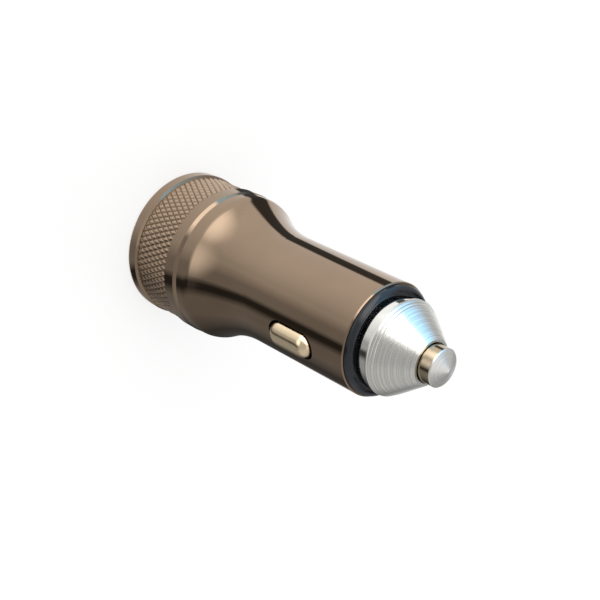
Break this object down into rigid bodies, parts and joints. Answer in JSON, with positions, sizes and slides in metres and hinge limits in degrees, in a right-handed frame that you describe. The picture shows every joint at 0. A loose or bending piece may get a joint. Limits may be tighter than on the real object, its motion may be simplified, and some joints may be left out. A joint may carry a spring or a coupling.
{
  "type": "car usb charger plug",
  "caption": "Metal car charger plug with a knurled head holding USB sockets, a flared slotted barrel with sprung side contacts, and a conical nose with a sprung centre pin.",
  "frame": {"origin": "centre of the head's rim face, the face that the plug stands on", "axes": "+Z along the plug from the head to the nose, +X towards one side contact"},
  "size_m": [0.0282, 0.0282, 0.0686],
  "materials": {
    "gunmetal": "polished warm gunmetal plating",
    "black_plastic": "fine moulded texture",
    "clear_plastic": "frosted clear",
    "socket_steel": "plated sheet",
    "tongue_plastic": "white moulding",
    "gold_plate": "gold plated",
    "board": "green solder mask",
    "ferrite": "sintered ferrite",
    "copper": "enamelled wire",
    "can_metal": "plain can",
    "tinned_wire": "tinned",
    "chip_plastic": "moulded epoxy",
    "ceramic": "fired ceramic",
    "nickel": "polished nickel plating",
    "spring_bronze": "spring temper sheet",
    "black_gloss": "moulded gloss",
    "bright_aluminium": "bright turned, fine tool marks",
    "spring_steel": "drawn wire"
  },
  "bodies": {
    "root": {"shell": "gunmetal", "face_plate": "black_plastic", "light_pipe": "clear_plastic", "usb_shell_upper": "socket_steel", "usb_shell_lower": "socket_steel", "usb_tongue_upper": "tongue_plastic", "usb_tongue_lower": "tongue_plastic", "usb_contacts_upper": "gold_plate", "usb_contacts_lower": "gold_plate", "circuit_board": "board", "choke_core": "ferrite", "choke_winding": "copper", "input_capacitor": "can_metal", "output_capacitor": "can_metal", "capacitor_leads": "tinned_wire", "converter_chip": "chip_plastic", "converter_chip_pins": "tinned_wire", "port_chips": "chip_plastic", "port_chip_pins": "tinned_wire", "catch_diode": "chip_plastic", "board_fuse": "ceramic", "chip_resistors": "ceramic", "chip_capacitors": "ceramic", "power_led": "clear_plastic", "ground_spring_right": "spring_bronze", "ground_spring_left": "spring_bronze", "nose_insulator": "black_gloss", "nose_cone": "bright_aluminium", "tip_spring": "spring_steel", "tip_terminal": "spring_bronze"},
    "tip": {"tip_contact": "nickel"},
    "ground_right": {"ground_contact_right": "nickel"},
    "ground_left": {"ground_contact_left": "nickel"}
  },
  "joints": [
    {"name": "tip_press", "type": "slide", "parent": "root", "child": "tip", "axis": [0, 0, -1], "range_m": [0, 0.002], "stiffness_N_per_m": 1000, "springref_m": -0.001, "deforming": ["tip_spring"]},
    {"name": "ground_right_press", "type": "slide", "parent": "root", "child": "ground_right", "axis": [-1, 0, 0], "range_m": [0, 0.0013], "stiffness_N_per_m": 1500, "springref_m": -0.0005, "deforming": ["ground_spring_right"]},
    {"name": "ground_left_press", "type": "slide", "parent": "root", "child": "ground_left", "axis": [1, 0, 0], "range_m": [0, 0.0013], "stiffness_N_per_m": 1500, "springref_m": -0.0005, "deforming": ["ground_spring_left"]}
  ]
}
